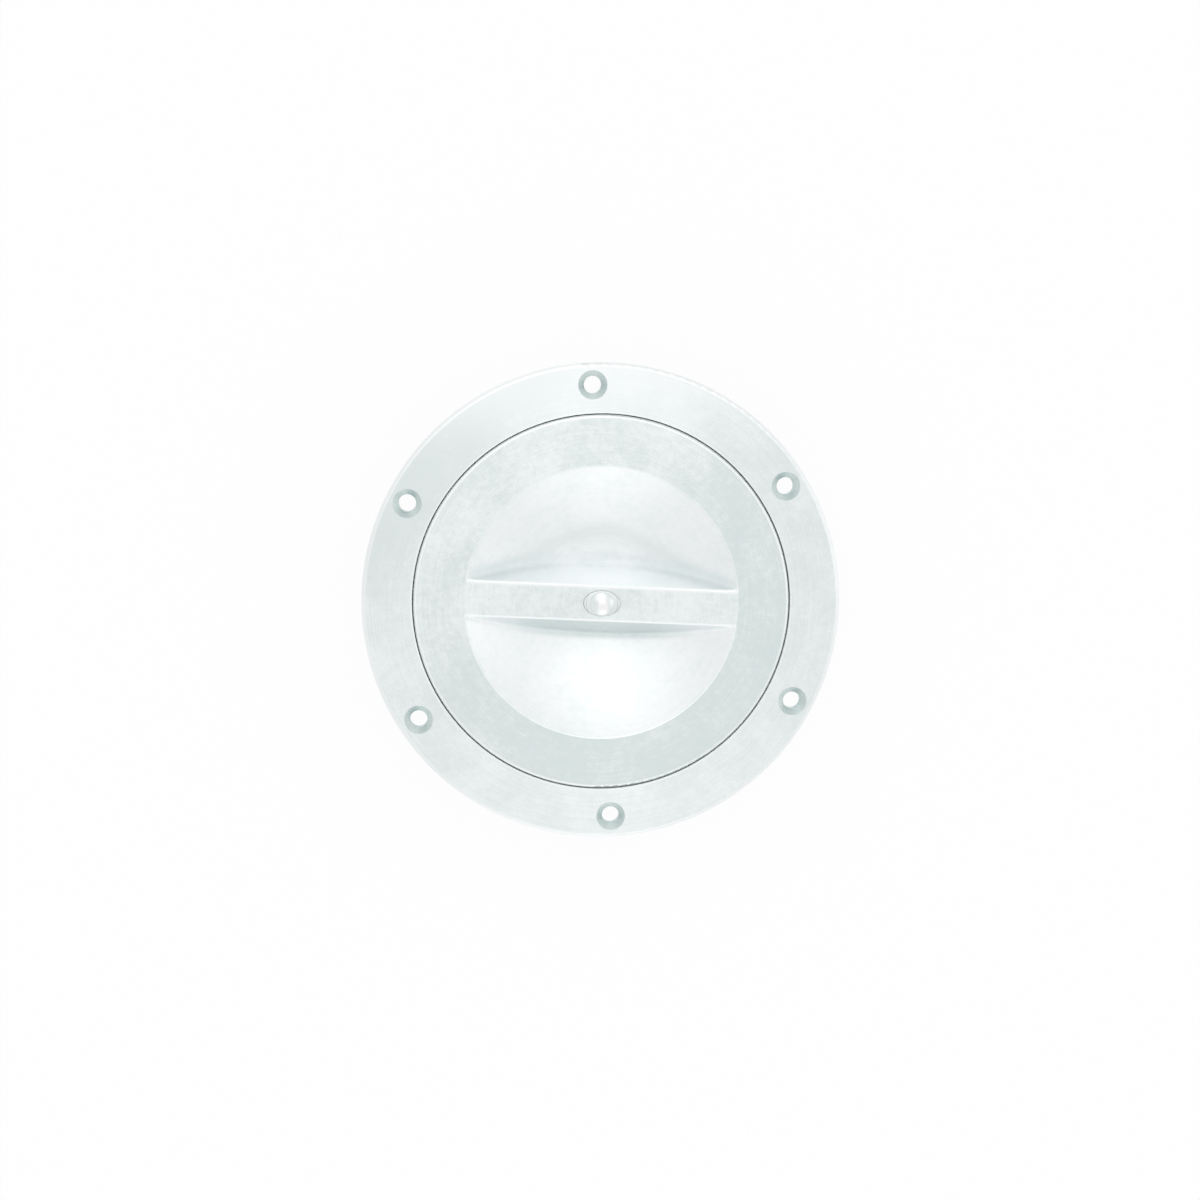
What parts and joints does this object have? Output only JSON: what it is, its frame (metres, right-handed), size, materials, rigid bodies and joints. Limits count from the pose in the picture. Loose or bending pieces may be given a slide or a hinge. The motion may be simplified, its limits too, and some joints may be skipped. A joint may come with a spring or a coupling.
{
  "type": "access hatch",
  "caption": "Round deck access hatch: flanged ring with sunk screw holes, threaded collar and a flush lid turned by a bar across its bowl.",
  "frame": {"origin": "on the hatch's axis at the underside of the ring's flange, which lies on the deck", "axes": "+Z out of the deck along the axis, +Y towards one screw hole, +X to the right of it seen from above"},
  "size_m": [0.17, 0.17, 0.0323],
  "materials": {
    "ring_metal": "satin, turned and tumbled",
    "lid_metal": "satin, bowl brighter than the band",
    "stud_metal": "polished stainless steel",
    "fixing_metal": "plain stainless steel",
    "seal_rubber": "black nitrile",
    "insert_nylon": "pale nylon"
  },
  "bodies": {
    "ring": {"deck_ring": "ring_metal"},
    "seal": {"lid_seal": "seal_rubber"},
    "lid": {"lid": "lid_metal", "centre_stud": "stud_metal", "stud_washer": "fixing_metal", "lock_nut": "fixing_metal", "nut_insert": "insert_nylon"},
    "tab": {"lanyard_tab": "fixing_metal"}
  },
  "joints": [
    {"name": "lid_rise", "type": "slide", "parent": "ring", "child": "seal", "axis": [0, 0, 1], "range_m": [0, 0.01]},
    {"name": "lid_turn", "type": "hinge", "parent": "seal", "child": "lid", "pos_m": [0, 0, 0], "axis": [0, 0, 1], "range_deg": [0, 720]},
    {"name": "tab_swivel", "type": "hinge", "parent": "lid", "child": "tab", "pos_m": [0, 0, -0.0161], "axis": [0, 0, 1], "continuous": true}
  ],
  "couplings": [
    {"joint": "lid_rise", "follows": "lid_turn", "m_per_rad": 0.00079577}
  ]
}
